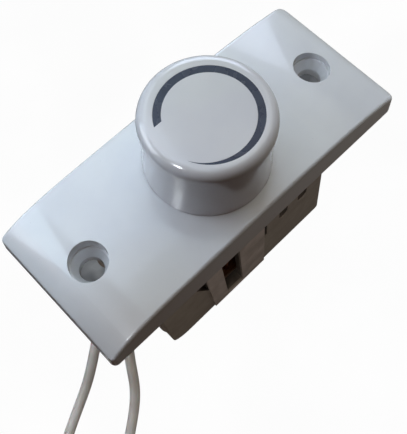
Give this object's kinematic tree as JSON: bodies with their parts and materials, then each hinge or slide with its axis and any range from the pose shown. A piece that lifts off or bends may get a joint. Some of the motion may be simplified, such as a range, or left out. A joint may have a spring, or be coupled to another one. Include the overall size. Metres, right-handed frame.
{
  "type": "rotary dimmer switch",
  "caption": "Narrow screw-down wall plate with a round dimmer knob, a rear housing holding the rotary switch and dimmer circuit, and two connection leads.",
  "frame": {"origin": "centre of the front plate's flat seating plane, on the knob's axis", "axes": "+Z out of the wall towards the hand, along the knob's axis; +X along the plate's length, away from the leads; the housing reaches into -Z"},
  "size_m": [0.114, 0.0583, 0.0578],
  "materials": {
    "white_plastic": "glossy moulded urea, cool white",
    "housing_plastic": "satin moulded plastic",
    "knob_plastic": "glossy moulded plastic, cool white",
    "mark_ink": "dark slate-blue printed mark",
    "zinc_steel": "zinc-plated steel",
    "spring_steel": "blued spring steel",
    "brass": "machined brass",
    "nickel_brass": "nickel-plated brass",
    "tinned_brass": "tinned brass",
    "tinned_copper": "bare and tinned copper",
    "enamelled_copper": "enamelled copper wire",
    "bronze": "phosphor bronze",
    "phenolic_brown": "phenolic paper laminate",
    "phenolic_black": "moulded phenolic",
    "cam_plastic": "moulded nylon",
    "capacitor_red": "dipped film capacitor",
    "capacitor_green": "dipped film capacitor",
    "diac_blue": "glass diode body",
    "resistor_tan": "lacquered resistor",
    "ferrite": "sintered ferrite",
    "epoxy_black": "moulded epoxy",
    "aluminium": "mill-finish aluminium",
    "lead_pvc": "off-white PVC insulation"
  },
  "bodies": {
    "base": {"front_plate": "white_plastic", "rear_housing": "housing_plastic", "housing_screws": "zinc_steel", "pot_bushing": "brass", "pot_washer": "zinc_steel", "pot_nut": "nickel_brass", "pot_cover": "zinc_steel", "pot_can": "zinc_steel", "resistance_wafer": "phenolic_brown", "pot_terminals": "tinned_brass", "switch_case": "phenolic_black", "switch_terminals": "tinned_brass", "jumper_wires": "tinned_copper", "circuit_board": "phenolic_brown", "film_capacitor": "capacitor_red", "timing_capacitor": "capacitor_green", "diac": "diac_blue", "timing_resistors": "resistor_tan", "choke_core": "ferrite", "choke_winding": "enamelled_copper", "triac": "epoxy_black", "heat_sink": "aluminium", "heat_sink_screw": "zinc_steel", "lead_line": "lead_pvc", "lead_load": "lead_pvc", "lead_cores": "tinned_copper"},
    "knob": {"knob": "knob_plastic", "dial_mark": "mark_ink", "knob_clip": "spring_steel", "pot_shaft": "zinc_steel", "shaft_clip": "spring_steel", "wiper_disc": "phenolic_black", "wiper_contact": "bronze", "switch_cam": "cam_plastic"},
    "contact": {"contact_leaf": "bronze"}
  },
  "joints": [
    {"name": "knob_turn", "type": "hinge", "parent": "base", "child": "knob", "pos_m": [0, 0, 0], "axis": [0, 0, -1], "range_deg": [0, 300]},
    {"name": "contact_flex", "type": "hinge", "parent": "base", "child": "contact", "pos_m": [0.0054, 0.0057, -0.0062], "axis": [0, 0, 1], "range_deg": [0, 3.2], "deforming": ["contact_leaf"]}
  ]
}
